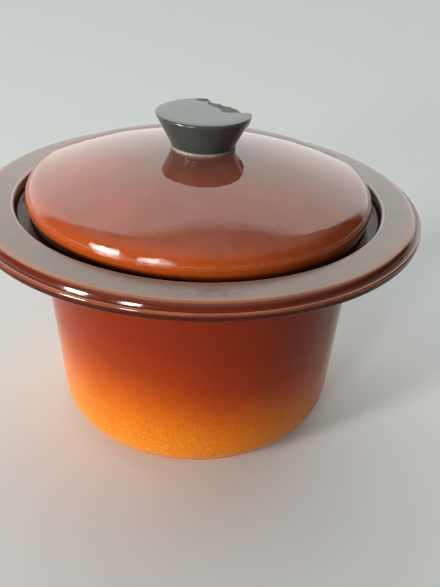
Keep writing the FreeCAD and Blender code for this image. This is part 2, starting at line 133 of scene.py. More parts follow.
class Value:
    # A number socket of a node tree, so that shader maths reads as plain expressions.

    def __init__(self, graph, socket):
        self.graph, self.socket = graph, socket

    def maths(self, operation, *others):
        return self.graph.node("ShaderNodeMath", {"operation": operation}, dict(enumerate(others)))

    def __add__(self, other):
        return self.maths("ADD", self, other)

    def __sub__(self, other):
        return self.maths("SUBTRACT", self, other)

    def __rsub__(self, other):
        return self.maths("SUBTRACT", other, self)

    def __mul__(self, other):
        return self.maths("MULTIPLY", self, other)

    def __truediv__(self, other):
        return self.maths("DIVIDE", self, other)

    def __pow__(self, other):
        return self.maths("POWER", self, other)

    __radd__ = __add__
    __rmul__ = __mul__


class Graph:
    # Node tree with one way to add a node: its type, its settings, then its socket values or links.

    def __init__(self, tree):
        self.tree = tree
        tree.nodes.clear()

    def node(self, kind, settings, sockets, out=0):
        made = self.tree.nodes.new(kind)
        for key, setting in settings.items():
            if key == "stops":
                ramp = made.color_ramp
                while len(ramp.elements) < len(setting):
                    ramp.elements.new(0.5)
                for element, (place, colour) in zip(ramp.elements, setting):
                    element.position = place
                    element.color = (*colour, 1)
            else:
                setattr(made, key, setting)
        for key, given in sockets.items():
            if isinstance(given, Value):
                self.tree.links.new(given.socket, made.inputs[key])
            else:
                made.inputs[key].default_value = given
        return Value(self, made.outputs[out]) if len(made.outputs) else made

    def place(self, scale=(1, 1, 1)):
        where = self.node("ShaderNodeTexCoord", {}, {}, out=3)
        if scale == (1, 1, 1):
            return where
        return self.node("ShaderNodeMapping", {}, {"Vector": where, "Scale": scale})

    def axes(self):
        where = self.place()
        return [self.node("ShaderNodeSeparateXYZ", {}, {0: where}, out=k) for k in range(3)]

    def noise(self, scale, detail=3.0, roughness=0.5, where=None):
        where = where or self.place()
        sockets = {"Vector": where, "Scale": scale, "Detail": detail, "Roughness": roughness}
        return self.node("ShaderNodeTexNoise", {}, sockets)

    def cells(self, scale, out=0):
        # out 0 is the distance to the nearest cell's point, out 1 that cell's random colour
        return self.node("ShaderNodeTexVoronoi", {}, {"Vector": self.place(), "Scale": scale}, out=out)

    def step(self, value, low, high, start=0.0, end=1.0):
        # start below low, end above high, smooth between
        return self.node("ShaderNodeMapRange", {"interpolation_type": "SMOOTHSTEP"},
                         {0: value, 1: low, 2: high, 3: start, 4: end})

    def fade(self, value, low, high):
        # 1 below low, 0 above high, smooth between
        return self.step(value, low, high, 1.0, 0.0)

    def mix(self, factor, first, second):
        first = (*first, 1) if isinstance(first, tuple) else first
        second = (*second, 1) if isinstance(second, tuple) else second
        sockets = {0: factor, 6: first, 7: second}
        return self.node("ShaderNodeMix", {"data_type": "RGBA"}, sockets, out=2)

    def twoTone(self, noise, first, second, low=0.35, high=0.7):
        # the second colour in patches on the first, where the noise (scale, detail, roughness) is high
        return self.mix(self.step(self.noise(*noise), low, high), first, second)

    def dots(self, scale, full, edge, share, softness=0.01):
        # Spots round the points of a cell pattern, in the cells whose own random number is above share.
        # A spot is whole at full and ends at edge, both as shares of a cell's width.
        spot = self.fade(self.cells(scale), full, edge)
        return spot * self.step(self.cells(scale, out=1), share, share + softness)

    def ramp(self, value, stops):
        return self.node("ShaderNodeValToRGB", {"stops": stops}, {0: value})

    def smallest(self, first, second):
        return self.node("ShaderNodeMath", {"operation": "MINIMUM"}, {0: first, 1: second})

    def largest(self, first, second):
        return self.node("ShaderNodeMath", {"operation": "MAXIMUM"}, {0: first, 1: second})

    def ringGap(self, radius, height, aroundRadius, aroundHeight):
        # Distance in the RZ plane from a ring about the axis.
        return ((radius - aroundRadius) ** 2 + (height - aroundHeight) ** 2) ** 0.5

    def glaze(self, colour, roughness, height=None, uniform=None):
        # Principled surface; height is its relief in metres.
        sockets = {"Base Color": colour if isinstance(colour, Value) else (*colour, 1),
                   "Roughness": roughness, **(uniform or {})}
        if height is not None:
            relief = {"Height": height, "Distance": 1.0, "Strength": 1.0}
            sockets["Normal"] = self.node("ShaderNodeBump", {}, relief)
        return self.node("ShaderNodeBsdfPrincipled", {}, sockets)

    def blend(self, factor, first, second):
        return self.node("ShaderNodeMixShader", {}, {0: factor, 1: first, 2: second})

    def finish(self, *surface):
        surface = surface[0] if len(surface) == 1 else self.glaze(*surface)
        self.node("ShaderNodeOutputMaterial", {}, {"Surface": surface})


def newMaterial(name):
    material = bpy.data.materials.new(name)
    material.use_nodes = True
    return material, Graph(material.node_tree)


def paint(piece, material):
    piece.data.materials.clear()
    piece.data.materials.append(material)


def dress(piece, material, body, replaced):
    paint(piece, material)
    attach(piece, body)
    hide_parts(*replaced)


view = {
    "place": (0.0, -0.42371, 0.33203),
    "yaw": 0.1026, "pitch": -0.5563, "roll": 0.0774,
    "lens": 42.93, "shift": (-0.0691, 0.0255),
}


def makeCamera():
    camera = bpy.data.objects.new("camera", bpy.data.cameras.new("camera"))
    bpy.context.scene.collection.objects.link(camera)
    yaw, pitch, roll = view["yaw"], view["pitch"], view["roll"]
    ahead = Vector((math.sin(yaw) * math.cos(pitch), math.cos(yaw) * math.cos(pitch), math.sin(pitch)))
    level = Vector((math.cos(yaw), -math.sin(yaw), 0))
    above = level.cross(ahead)
    right = math.cos(roll) * level + math.sin(roll) * above
    up = math.cos(roll) * above - math.sin(roll) * level
    turn = Matrix((right, up, -ahead)).transposed()
    camera.matrix_world = Matrix.Translation(view["place"]) @ turn.to_4x4()
    camera.data.lens = view["lens"]
    camera.data.shift_x, camera.data.shift_y = view["shift"]
    camera.data.clip_start = 0.01
    bpy.context.scene.camera = camera


makeCamera()
print("camera placed")


studio = {                          # metres, watts
    "floorSize": 12.0, "floorColour": (0.84, 0.85, 0.84), "cloud": (0.78, 0.78, 0.77),
    "cloudNoise": (3.0, 2.0), "cloudAmount": 0.15, "floorRoughness": 0.6, "floorIor": 1.3,
    "wallGlow": 1.55, "ceilingGlow": 0.36, "roomGlow": 0.03, "backdrop": 0.62,
    "wallHeading": 98.0,            # degrees
    "wallSides": (0.42, 0.62),      # cosine from that heading, where the wall begins and is full
    "wallTop": (1.55, 2.0),         # tangent of the height where the wall ends
    "ceiling": (0.45, 0.8),         # sine of the height where the ceiling begins and is full
    "roomColour": (0.95, 1.0, 0.975), "lampColour": (1.0, 0.985, 0.96), "lampAim": (0, 0, 0.12),
    "panes": [                      # heading, distance, height, width, tall, power
        (-147, 3.2, 0.72, 0.54, 0.94, 88),
        (-120, 3.2, 0.60, 0.40, 0.84, 36),
    ],
}


def makeFloor():
    half = studio["floorSize"] / 2
    corners = np.array([(-half, -half, 0), (half, -half, 0), (half, half, 0), (-half, half, 0)])
    floor = meshPiece("floor", corners, [[0, 1, 2, 3]])
    material, g = newMaterial("floorPaint")
    cloud = g.noise(*studio["cloudNoise"]) * studio["cloudAmount"]
    colour = g.mix(cloud, studio["floorColour"], studio["cloud"])
    g.finish(colour, studio["floorRoughness"], None, {"IOR": studio["floorIor"]})
    floor.data.materials.append(material)


def makeWorld():
    # A bright wall behind the pot, a dimmer room and ceiling. The wall's upper edge is level, so it is
    # where a direction's height is a fixed share of its reach towards the wall.
    world = bpy.data.worlds.new("studio")
    bpy.context.scene.world = world
    world.use_nodes = True
    g = Graph(world.node_tree)
    where = g.node("ShaderNodeTexCoord", {}, {}, out=0)
    x, y, z = [g.node("ShaderNodeSeparateXYZ", {}, {0: where}, out=k) for k in range(3)]
    facing = math.radians(studio["wallHeading"])
    reach = x * math.cos(facing) + y * math.sin(facing)
    level = g.largest((x * x + y * y) ** 0.5, 0.001)
    wall = g.step(reach / level, *studio["wallSides"])
    wall = wall * g.fade(z / g.largest(reach, 0.001), *studio["wallTop"])
    overhead = g.step(z, *studio["ceiling"])
    room = studio["roomGlow"] + overhead * (studio["ceilingGlow"] - studio["roomGlow"])
    strength = room + wall * (studio["wallGlow"] - room)
    seen = g.node("ShaderNodeLightPath", {}, {}, out=0)     # 1 for what is seen directly, 0 for light
    strength = strength + seen * (studio["backdrop"] - strength)
    tint = (*studio["roomColour"], 1)
    glow = g.node("ShaderNodeBackground", {}, {"Color": tint, "Strength": strength})
    g.node("ShaderNodeOutputWorld", {}, {"Surface": glow})


def makeLights():
    for number, (heading, distance, height, width, tall, power) in enumerate(studio["panes"]):
        lamp = bpy.data.lights.new(f"pane{number}", "AREA")
        lamp.shape = "RECTANGLE"
        lamp.size, lamp.size_y, lamp.energy = width, tall, power
        lamp.color = studio["lampColour"]
        holder = bpy.data.objects.new(f"pane{number}", lamp)
        bpy.context.scene.collection.objects.link(holder)
        a = math.radians(heading)
        holder.location = (distance * math.cos(a), distance * math.sin(a), height)
        aim = Vector(studio["lampAim"]) - holder.location
        holder.rotation_euler = aim.to_track_quat("-Z", "Y").to_euler()


makeFloor()
makeWorld()
makeLights()
bpy.context.scene.view_settings.view_transform = "Standard"
print("floor and lights placed")


potShape = {                        # millimetres
    "top": 155.0, "flange": 136.9, "under": 145.5, "bead": 141.1, "beadTop": 151.6,
    "groove": 138.2, "grooveTop": 150.6, "well": 115.6, "ledge": 147.0, "galleryOut": 123.6,
    "wallTop": 102.3, "neck": 133.5, "wallFoot": 93.6, "wall": 7.5, "floor": 9.0,
    "recess": 66.0, "recessTop": 2.0, "segments": 288,
}
potLook = {
    "heights": [                    # share of the wall's height, colour
        (0.00, (0.749, 0.248, 0.0220)), (0.11, (0.685, 0.193, 0.0060)), (0.22, (0.631, 0.152, 0.0040)),
        (0.32, (0.535, 0.108, 0.0030)), (0.42, (0.396, 0.059, 0.0030)), (0.53, (0.273, 0.030, 0.0030)),
        (0.70, (0.209, 0.020, 0.0030)), (0.95, (0.177, 0.017, 0.0030))],
    "grain": (0.84, 0.40, 0.085), "fleck": (0.36, 0.060, 0.004), "chip": (0.92, 0.62, 0.32),
    # the lip colour is a painted highlight along the flange's inner edge
    "flange": (0.225, 0.135, 0.106), "flangeWarm": (0.262, 0.150, 0.112), "lip": (0.78, 0.66, 0.60),
    "streak": (0.035, 0.016, 0.012), "smudge": (0.045, 0.026, 0.020), "band": (0.140, 0.020, 0.007),
    # thin is thin orange glaze on the rim's ridge and bead, laid where highlights fall, so it is partly
    # painted highlight; the last colour is painted shade for the wall under the rim
    "thin": (0.52, 0.14, 0.030), "underRimShade": (0.060, 0.008, 0.003),
    "inside": (0.13, 0.026, 0.011), "insideWarm": (0.19, 0.045, 0.017),
    "clay": (0.50, 0.36, 0.24), "clayDark": (0.40, 0.27, 0.17),
    # how much of each shows
    "grainAmount": 0.5, "fleckAmount": 0.60, "streakAmount": 0.35, "smudgeAmount": 0.40,
    "thinAndHighlightAmount": 0.72, "thinAndHighlightDrift": 1.6, "lipHighlightAmount": 0.8,
    # noises: scale, detail, roughness
    "driftNoise": (13, 3, 0.55), "mottleNoise": (150, 4, 0.65), "sprayNoise": (620, 3, 0.7),
    "grainNoise": (1150, 2, 0.6), "fleckNoise": (520, 3, 0.65), "flangeNoise": (60, 4, 0.6),
    "smudgeNoise": (160, 2, 0.5), "bowlNoise": (45, 4, 0.6), "clayNoise": (700, 3),
    "footNoise": (90, 3), "softNoise": (260, 2, 0.5), "gritNoise": (2500, 2),
    "streakStretch": (700, 60, 60),
    # noise levels where each begins and is full, and dots as scale, whole, edge, share of the cells
    "grainLevel": (0.56, 0.72), "fleckLevel": (0.54, 0.70), "streakLevel": (0.62, 0.75),
    "smudgeLevel": (0.35, 0.75), "chipDots": (55, 0.030, 0.045, 0.80),
    # wall, metres: height the colours spread over, how far drift, mottle and spray push them, and
    # the side where the orange reaches higher
    "wallSpan": 0.14, "push": (0.024, 0.013, 0.013),
    "left": (-0.090, 0.020), "leftRise": 0.013, "rightDrop": 0.005,
    "thinZone": (0.004, 0.072), "thinWander": 0.02, "thinGrains": 0.08, "fleckZone": (0.010, 0.100),
    # rim, metres: heights and radii where each colour begins and is full, rings as radius, height, and
    # distances from a ring where its colour is full and gone
    # the first zone is where the painted shade under the rim begins and is full
    "underRimShadeZone": (0.128, 0.142), "topZone": (0.1485, 0.1503), "bandZone": (0.1350, 0.1366),
    "glossZone": (0.1493, 0.1502), "filmZone": (0.1546, 0.1549), "mouthZone": (0.12, 0.14),
    # the ridge and bead rings carry thin orange glaze that is also painted highlight
    "lipHighlightRing": (0.1160, 0.1549), "ridgeRing": (0.1344, 0.1548), "beadRing": (0.1402, 0.1507),
    "lipHighlightZone": (0.0008, 0.0016), "thinAndHighlightZone": (0.0003, 0.0022), "thinAndHighlightWander": 0.0014, "beadShrink": 1.6,
    "smudgeSpot": (0.003, -0.1262), "smudgeSquash": 0.42, "smudgeZone": (0.0020, 0.0065),
    "smudgeWander": 0.006,
    # bare clay, metres: height and outer radius on the foot ring, radius and height in the recess
    "bareZone": (0.0014, 0.0020), "bareWander": 0.0016, "footEdge": (0.0800, 0.0835),
    "recessEdge": (0.0655, 0.0662), "recessZone": (0.0045, 0.0055),
    # inside, metres: the height in the base where it begins, and the middle of the wall, as its radius
    # at the table, how much that grows with height and how far the change spreads
    "floorZone": (0.0050, 0.0065), "middleFoot": 0.0899, "middleLean": 0.0653, "middleSpread": 0.0015,
    # roughness of the glaze, what each adds to it, and relief in metres
    "roughness": 0.10, "filmRough": 0.13, "thinRough": 0.20, "bareRough": 0.5, "mottleRough": 0.06,
    "smudgeRough": 0.2, "soft": 0.00005, "grainRise": 0.00007, "chipRise": 0.0001, "grit": 0.00008,
    "wallIor": 1.24, "glossIor": 1.70,
}


def potOutline():
    s = potShape
    return roundedOutline([
        (0, s["recessTop"], 0), (s["recess"] - 2, s["recessTop"], 0.8), (s["recess"], 0, 0.8),
        (s["wallFoot"], 0, 20), (s["wallTop"], s["neck"], 8), (s["galleryOut"], s["under"], 6),
        (s["bead"], s["under"], 2.4), (s["bead"], s["beadTop"], 1.3), (s["groove"], s["grooveTop"], 0.5),
        (s["flange"], s["top"], 5.0), (s["well"], s["top"], 2), (s["well"], s["ledge"], 3),
        (s["wallTop"] - s["wall"], s["ledge"], 2.5), (s["wallFoot"] - s["wall"], s["floor"], 16),
        (0, s["floor"], 0),
    ], runStep=3.0, arcStep=7)


def thrownWave(r, z, angle):
    # Slow waves from throwing: 0.10 sin(2a + 1) + 0.06 sin(5a + 40z) + 0.03 sin(9a + 0.7) mm, and faint
    # throwing rings up the wall, none of them near the foot.
    wave = 0.10 * np.sin(2 * angle + 1) + 0.06 * np.sin(5 * angle + 40 * z)
    wave = wave + 0.03 * np.sin(9 * angle + 0.7) + 0.04 * np.sin(z * 420 + 0.6 * np.sin(angle))
    return wave * mm * smooth(z, 0.004, 0.03)


def potGlaze():
    # Sprayed brown over orange on the wall, dark gloss on the flange and inside, bare clay on the foot,
    # painted shade under the rim, and painted highlight on the inner lip, the ridge and the bead.
    material, g = newMaterial("potGlaze")
    look = potLook
    x, y, z = g.axes()
    r = (x * x + y * y) ** 0.5
    drift = g.noise(*look["driftNoise"]) - 0.5
    mottle = g.noise(*look["mottleNoise"]) - 0.5
    spray = g.noise(*look["sprayNoise"]) - 0.5
    tilt = g.step(x, *look["left"], look["leftRise"], -look["rightDrop"])
    far, near, fine = look["push"]
    level = z - tilt + drift * far + mottle * near + spray * fine
    wall = g.ramp(level / look["wallSpan"], look["heights"])
    # pale grains and dark flecks where the glaze is thin, low on the wall
    thin = g.fade(z + drift * look["thinWander"], *look["thinZone"])
    grains = g.noise(*look["grainNoise"]) + thin * look["thinGrains"]
    grains = g.step(grains, *look["grainLevel"]) * thin
    wall = g.mix(grains * look["grainAmount"], wall, look["grain"])
    flecks = g.step(g.noise(*look["fleckNoise"]), *look["fleckLevel"]) * g.fade(z, *look["fleckZone"])
    wall = g.mix(flecks * look["fleckAmount"], wall, look["fleck"])
    chip = g.dots(*look["chipDots"])
    wall = g.mix(chip, wall, look["chip"])
    # flange top with worn streaks, a smudge in front and a painted highlight along its inner lip
    streak = g.noise(1.0, 3, 0.6, g.place(look["streakStretch"]))
    flange = g.twoTone(look["flangeNoise"], look["flange"], look["flangeWarm"])
    flange = g.mix(g.step(streak, *look["streakLevel"]) * look["streakAmount"], flange, look["streak"])
    spot = g.ringGap(x * look["smudgeSquash"], y, *look["smudgeSpot"])
    smudge = g.fade(spot + mottle * look["smudgeWander"], *look["smudgeZone"])
    smudge = smudge * g.step(g.noise(*look["smudgeNoise"]), *look["smudgeLevel"])
    flange = g.mix(smudge * look["smudgeAmount"], flange, look["smudge"])
    # painted highlight: a pale line painted along the inner lip of the flange
    lip = g.fade(g.ringGap(r, z, *look["lipHighlightRing"]), *look["lipHighlightZone"])
    flange = g.mix(lip * (look["lipHighlightAmount"] + drift), flange, look["lip"])
    upper = g.step(z, *look["topZone"])
    # painted shade: the top of the wall is painted darker up to the underside of the rim, where the
    # flange's shade falls
    colour = g.mix(g.step(z, *look["underRimShadeZone"]), wall, look["underRimShade"])
    colour = g.mix(upper, colour, g.mix(g.step(r, *look["bandZone"]), flange, look["band"]))
    # the glaze pulls thin and orange on the ridge and on the bead, and this orange is laid where highlights
    # fall there, so it is part thin glaze and part painted highlight
    ridge = g.ringGap(r, z, *look["ridgeRing"])
    ridge = g.smallest(ridge, g.ringGap(r, z, *look["beadRing"]) * look["beadShrink"])
    worn = g.fade(ridge + mottle * look["thinAndHighlightWander"], *look["thinAndHighlightZone"])
    worn = worn * (look["thinAndHighlightAmount"] + drift * look["thinAndHighlightDrift"])
    colour = g.mix(worn, colour, look["thin"])
    # inside of the crock: everything nearer the axis than the middle of the wall
    middle = look["middleFoot"] + z * look["middleLean"]
    inside = g.fade(r - middle, -look["middleSpread"], look["middleSpread"])
    inside = inside * g.step(z, *look["floorZone"])
    bowl = g.twoTone(look["bowlNoise"], look["inside"], look["insideWarm"])
    colour = g.mix(inside, colour, bowl)
    # bare clay on the foot ring and in the recess under the base
    bare = (g.noise(*look["footNoise"]) - 0.5) * look["bareWander"]
    bare = g.fade(z + bare, *look["bareZone"]) * g.fade(r, *look["footEdge"])
    under = g.fade(r, *look["recessEdge"]) * g.fade(z, *look["recessZone"])
    bare = g.largest(bare, under)
    clay = g.twoTone(look["clayNoise"], look["clay"], look["clayDark"], 0.4)
    colour = g.mix(bare, colour, clay)
    film = g.step(z, *look["filmZone"])
    roughness = look["roughness"] + film * look["filmRough"] + thin * look["thinRough"]
    roughness = roughness + bare * look["bareRough"] + mottle * look["mottleRough"]
    roughness = roughness + smudge * look["smudgeRough"]
    relief = g.noise(*look["softNoise"]) * look["soft"] + grains * look["grainRise"]
    relief = relief + chip * look["chipRise"]
    relief = relief + bare * g.noise(*look["gritNoise"]) * look["grit"]
    wallShader = g.glaze(colour, roughness, relief, {"IOR": look["wallIor"]})
    glossShader = g.glaze(colour, roughness, relief, {"IOR": look["glossIor"]})
    glossy = g.largest(g.step(z, *look["glossZone"]), inside * g.step(z, *look["mouthZone"]))
    g.finish(g.blend(glossy, wallShader, glossShader))
    return material


def makePot():
    pot = turnedPiece("stonewarePot", potOutline(), potShape["segments"], thrownWave)
    dress(pot, potGlaze(), "pot", ["pot"])
    print("pot made:", len(pot.data.polygons), "faces")


makePot()


lidShape = {                        # millimetres, heights above the lid's rim
    "radius": 109.1, "shoulder": 12.5, "equator": 9.0, "rise": 29.7, "wall": 7.0, "tuck": 2.2,
    "rimRound": 1.8, "seat": 20.5, "boss": 12.0, "bossDrop": 2.0, "hole": 3.2, "segments": 288,
}
lidLook = {
    "body": (0.38, 0.074, 0.026), "bodyDark": (0.31, 0.062, 0.026), "deep": (0.20, 0.070, 0.048),
    # edge is painted shade for the lid's rim down in the pot's well, and also the colour of the dark
    # dapples
    "thin": (0.44, 0.072, 0.007), "edge": (0.12, 0.020, 0.007), "inside": (0.18, 0.042, 0.018),
    "insideWarm": (0.24, 0.060, 0.022), "clay": (0.46, 0.32, 0.21), "pit": (0.040, 0.014, 0.009),
    "speck": (0.60, 0.50, 0.44),
    # how much of each shows
    "deepAmount": 0.75, "thinAmount": 0.92, "dappleAmount": 0.35, "pitAmount": 0.85,
    "speckAmount": 0.5, "smearAmount": 0.06,
    # noises: scale, detail, roughness
    "driftNoise": (16, 3, 0.55), "mottleNoise": (170, 4, 0.65), "bodyNoise": (30, 4, 0.6),
    "dappleNoise": (420, 3, 0.6), "hollowNoise": (40, 4, 0.6), "smearNoise": (26, 5, 0.65),
    "patchNoise": (70, 2, 0.5), "crackleNoise": (900, 3, 0.7), "softNoise": (240, 2, 0.5),
    # noise levels where each begins and is full, and dots as scale, whole, edge, share of the cells
    "dappleLevel": (0.55, 0.72), "smearLevel": (0.46, 0.70), "patchLevel": (0.42, 0.62),
    "pitDots": (85, 0.040, 0.070, 0.80), "speckDots": (140, 0.050, 0.075, 0.88),
    # metres above the rim where each colour is full and gone, and radii for the first and last
    "deepZone": (0.020, 0.080), "thinZone": (0.010, 0.0225), "rimShadeZone": (0.0025, 0.0070),
    "bareZone": (0.0007, 0.0014), "insideZone": (0.1025, 0.1035),
    # metres: how far drift and mottle push two of those edges, and how far the middle of the wall spreads
    "thinWander": (0.005, 0.003), "rimShadeWander": 0.002, "middleSpread": 0.001,
    # relief, metres: crackle where the glaze is thin, what patches add to it, soft unevenness, pits
    "crackle": 0.00004, "patchCrackle": 0.00016, "soft": 0.00004, "pitDepth": 0.00004,
    "roughness": 0.0, "ior": 1.66,      # the same gloss all over
}


def arcPoints(middle, radius, start, end, step):
    # Points on a circle from one angle to another, in degrees.
    count = max(3, int(abs(end - start) / step))
    angle = np.radians(np.linspace(start, end, count))
    return np.stack([middle[0] + radius * np.cos(angle), middle[1] + radius * np.sin(angle)], 1)


def lidDome():
    # Shoulder's centre radius, dome's radius and the height of the dome's centre above the rim: the
    # dome's radius is (c^2 + rise^2 - a^2) / (2 (rise - a)) for a shoulder of radius a centred at c.
    s = lidShape
    c = s["radius"] - s["shoulder"]
    dome = (c ** 2 + s["rise"] ** 2 - s["shoulder"] ** 2) / (2 * (s["rise"] - s["shoulder"]))
    return c, dome, s["equator"] + s["rise"] - dome


def lidOutline():
    # Rim, shoulder arc and dome arc outside, the same arcs one wall thinner inside, a flat on top and a
    # flat boss inside.
    s = lidShape
    c, dome, low = lidDome()
    top = s["equator"] + s["rise"]
    meet = math.degrees(math.atan2(s["equator"] - low, c))
    bossLow = top - s["wall"] - s["bossDrop"]
    seatTop = low + math.sqrt(dome ** 2 - s["seat"] ** 2)
    seatAngle = math.degrees(math.acos(s["seat"] / dome))
    inner = dome - s["wall"]
    bossAngle = math.degrees(math.acos(s["boss"] / inner))
    rim = roundedOutline([
        (c + s["shoulder"] - s["wall"], s["equator"], 0), (s["radius"] - s["wall"], 0, s["rimRound"]),
        (s["radius"] - s["tuck"], 0, s["rimRound"]), (s["radius"], s["equator"], 0)], 2.0, 12) / mm
    outline = np.concatenate([
        rim[1:-1],
        arcPoints((c, s["equator"]), s["shoulder"], 0, meet, 3),
        arcPoints((0, low), dome, meet, seatAngle, 0.45)[1:],
        run(np.array([s["seat"], seatTop]), np.array([s["hole"], seatTop]), 2.5),
        [(s["hole"] + 0.4, seatTop), (s["hole"], seatTop - 0.4), (s["hole"], bossLow + 0.4),
         (s["hole"] + 0.4, bossLow), (s["boss"] - 0.4, bossLow), (s["boss"], bossLow + 0.4)],
        arcPoints((0, low), inner, bossAngle, meet, 0.6),
        arcPoints((c, s["equator"]), s["shoulder"] - s["wall"], meet, 0, 8)[1:],
    ])
    return outline * mm


def lidWave(r, z, angle):
    # Slow unevenness of the dome: 0.10 sin(3a + 0.4) + 0.05 sin(7a + 60r) mm, none at the hole.
    wave = 0.10 * np.sin(3 * angle + 0.4) + 0.05 * np.sin(7 * angle + 60 * r)
    return (wave + 0 * z) * mm * smooth(r, 0.025, 0.06)


def lidGlaze(rimHeight):
    # Red-brown gloss, browner near the knob, thin and orange over the shoulder, with pits and specks, and
    # painted shade low on the rim that sits down in the pot's well.
    material, g = newMaterial("lidGlaze")
    look = lidLook
    x, y, z = g.axes()
    r = (x * x + y * y) ** 0.5
    up = z - rimHeight
    drift = g.noise(*look["driftNoise"]) - 0.5
    mottle = g.noise(*look["mottleNoise"]) - 0.5
    colour = g.twoTone(look["bodyNoise"], look["bodyDark"], look["body"])
    colour = g.mix(g.step(r, *look["deepZone"], look["deepAmount"], 0.0), colour, look["deep"])
    far, near = look["thinWander"]
    thin = g.fade(up + drift * far + mottle * near, *look["thinZone"])
    colour = g.mix(thin * look["thinAmount"], colour, look["thin"])
    # painted shade: the lid's rim, which sits down in the pot's well, is painted dark
    edge = g.fade(up + mottle * look["rimShadeWander"], *look["rimShadeZone"])
    colour = g.mix(edge, colour, look["edge"])
    dapple = g.step(g.noise(*look["dappleNoise"]), *look["dappleLevel"])
    colour = g.mix(dapple * thin * look["dappleAmount"], colour, look["edge"])
    pit = g.dots(*look["pitDots"])
    colour = g.mix(pit * look["pitAmount"], colour, look["pit"])
    speck = g.dots(*look["speckDots"])
    colour = g.mix(speck * look["speckAmount"], colour, look["speck"])
    # inside of the lid: everything nearer the dome's centre than the middle of the wall
    dome, centre = lidDome()[1:]
    middle = (dome - lidShape["wall"] / 2) * mm
    reach = g.ringGap(r, z, 0.0, rimHeight + centre * mm)
    inside = g.fade(reach, middle - look["middleSpread"], middle + look["middleSpread"])
    inside = inside * g.fade(r, *look["insideZone"])
    hollow = g.twoTone(look["hollowNoise"], look["inside"], look["insideWarm"])
    colour = g.mix(inside, colour, hollow)
    bare = g.fade(up, *look["bareZone"])
    colour = g.mix(bare, colour, look["clay"])
    smear = g.step(g.noise(*look["smearNoise"]), *look["smearLevel"])
    colour = g.mix(smear * look["smearAmount"] * (1 - thin), colour, look["speck"])
    # fine crackle where the glaze is thin, stronger in patches
    patch = g.step(g.noise(*look["patchNoise"]), *look["patchLevel"])
    crackle = look["crackle"] + patch * look["patchCrackle"]
    crackle = g.noise(*look["crackleNoise"]) * thin * crackle
    relief = g.noise(*look["softNoise"]) * look["soft"] + crackle - pit * look["pitDepth"]
    g.finish(colour, look["roughness"], relief, {"IOR": look["ior"]})
    return material


def makeLid():
    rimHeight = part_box("lid")[0].z
    outline = lidOutline() + np.array([0, rimHeight])
    lid = turnedPiece("stonewareLid", outline, lidShape["segments"], lidWave)
    dress(lid, lidGlaze(rimHeight), "lid", ["lid"])
    print("lid made:", len(lid.data.polygons), "faces")


makeLid()


knobShape = {                       # millimetres, heights above the knob's foot
    "radius": 29.95, "height": 20.25, "topRound": 1.2, "crownWidth": 4.5, "crownDrop": 0.45,
    "crownRound": 20.0, "foot": 19.6, "footRound": 0.5, "skin": 4.5, "core": 9.0,
    "hollow": 7.0, "bore": 4.5, "boreDepth": 13.9, "segments": 384,
}
knobBreak = {                       # millimetres on the top face, and degrees about the axis
    "inner": (4.9, 12.1), "innerHeading": 28.6, "front": (15.0, -1.5), "frontHeading": 97.4,
    "end": 86.0, "lipEnd": 110.0, "step": 0.6, "slope": 0.190, "lump": 0.10, "trough": 1.0,
}
knobLook = {
    "side": (0.042, 0.050, 0.048), "sidePale": (0.058, 0.066, 0.063),
    "top": (0.125, 0.135, 0.122), "topPale": (0.165, 0.175, 0.160), "rubbed": (0.20, 0.21, 0.19),
    "char": (0.075, 0.062, 0.052), "charPale": (0.19, 0.17, 0.15), "soot": (0.020, 0.016, 0.014),
    "rubAmount": 0.5,
    # noises: scale, detail, roughness
    "cloudNoise": (90, 4, 0.6), "fineNoise": (900, 3, 0.6), "rubStretch": (60, 900, 60),
    # noise levels where each begins and is full, and dots as scale, whole, edge, share, softness
    "rubLevel": (0.50, 0.72), "charLevel": (0.42, 0.62), "sootDots": (420, 0.18, 0.30, 0.5, 0.02),
    # metres: heights above the foot, except that topEdge is a radius, charStart is measured past the
    # line of the break and charFront along y
    "topZone": (0.0193, 0.0200), "topEdge": (0.0292, 0.0282),
    "charZone": (0.0140, 0.0155), "charTop": (0.0196, 0.0201),
    "charStart": (0.0002, 0.0016), "charWander": 0.002, "charFront": (-0.003, 0.001),
    # roughness of the side, what each adds to it, and relief in metres
    "roughness": 0.20, "topRough": 0.16, "breakRough": 0.4, "fineRough": 0.10,
    "fineRise": 0.00003, "cloudRise": 0.00004, "breakRise": 0.0003, "ior": 1.6,
}


def knobOutline():
    s = knobShape
    inner, edge = s["foot"] - s["skin"], s["footRound"]
    return roundedOutline([
        (0, s["boreDepth"], 0), (s["bore"], s["boreDepth"], 0.3), (s["bore"], 0, 0.3),
        (s["core"], 0, edge), (s["core"], s["hollow"], edge), (inner, s["hollow"], edge),
        (inner, 0, edge), (s["foot"], 0, edge),
        (s["radius"], s["height"] - s["crownDrop"], s["topRound"]),
        (s["radius"] - s["crownWidth"], s["height"], s["crownRound"]), (0, s["height"], 0)], 0.6, 7)


def makeKnob():
    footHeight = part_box("knob")[0].z
    outline = knobOutline() + np.array([0, footHeight])
    knob = turnedPiece("mouldedKnob", outline, knobShape["segments"])
    breakEdge(knob, footHeight)
    dress(knob, knobPlastic(footHeight), "lid", ["knob"])
    print("knob made:", len(knob.data.polygons), "faces")


